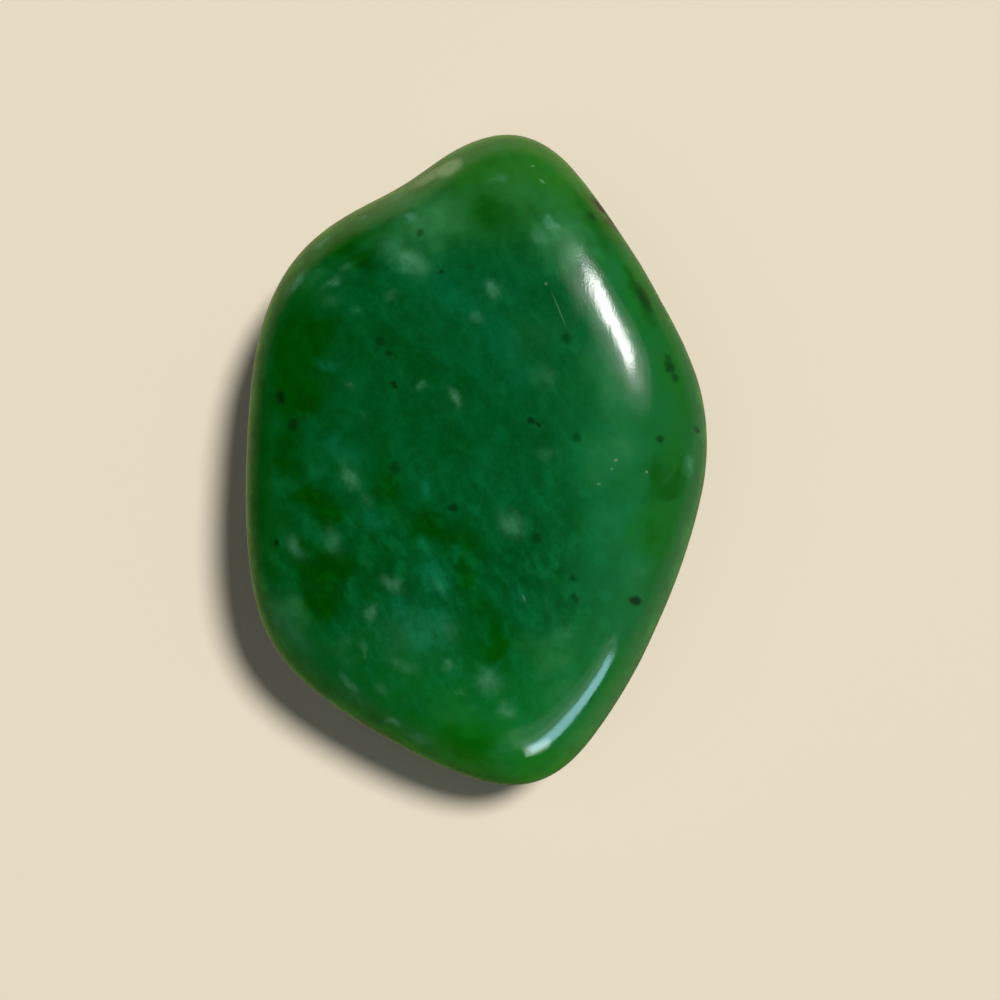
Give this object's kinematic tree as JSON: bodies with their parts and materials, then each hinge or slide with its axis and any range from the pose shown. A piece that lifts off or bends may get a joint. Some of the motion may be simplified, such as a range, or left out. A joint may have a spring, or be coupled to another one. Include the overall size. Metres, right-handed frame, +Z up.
{
  "type": "tumbled serpentine stone",
  "caption": "Tumbled and polished translucent green stone: a flattish rounded chip with broad sides, a softly domed top and a small flat to lie on.",
  "frame": {"origin": "middle of the bounding box's bottom, level with the surface the stone lies on", "axes": "+Y along the stone's length towards its narrower rounded end, +X towards its blunt side corner, +Z up through its thickness, out of the broad top face"},
  "size_m": [0.024, 0.0346, 0.0107],
  "materials": {
    "polished_green_stone": "polished, slightly translucent"
  },
  "bodies": {
    "root": {"tumbled_stone": "polished_green_stone"}
  },
  "joints": []
}
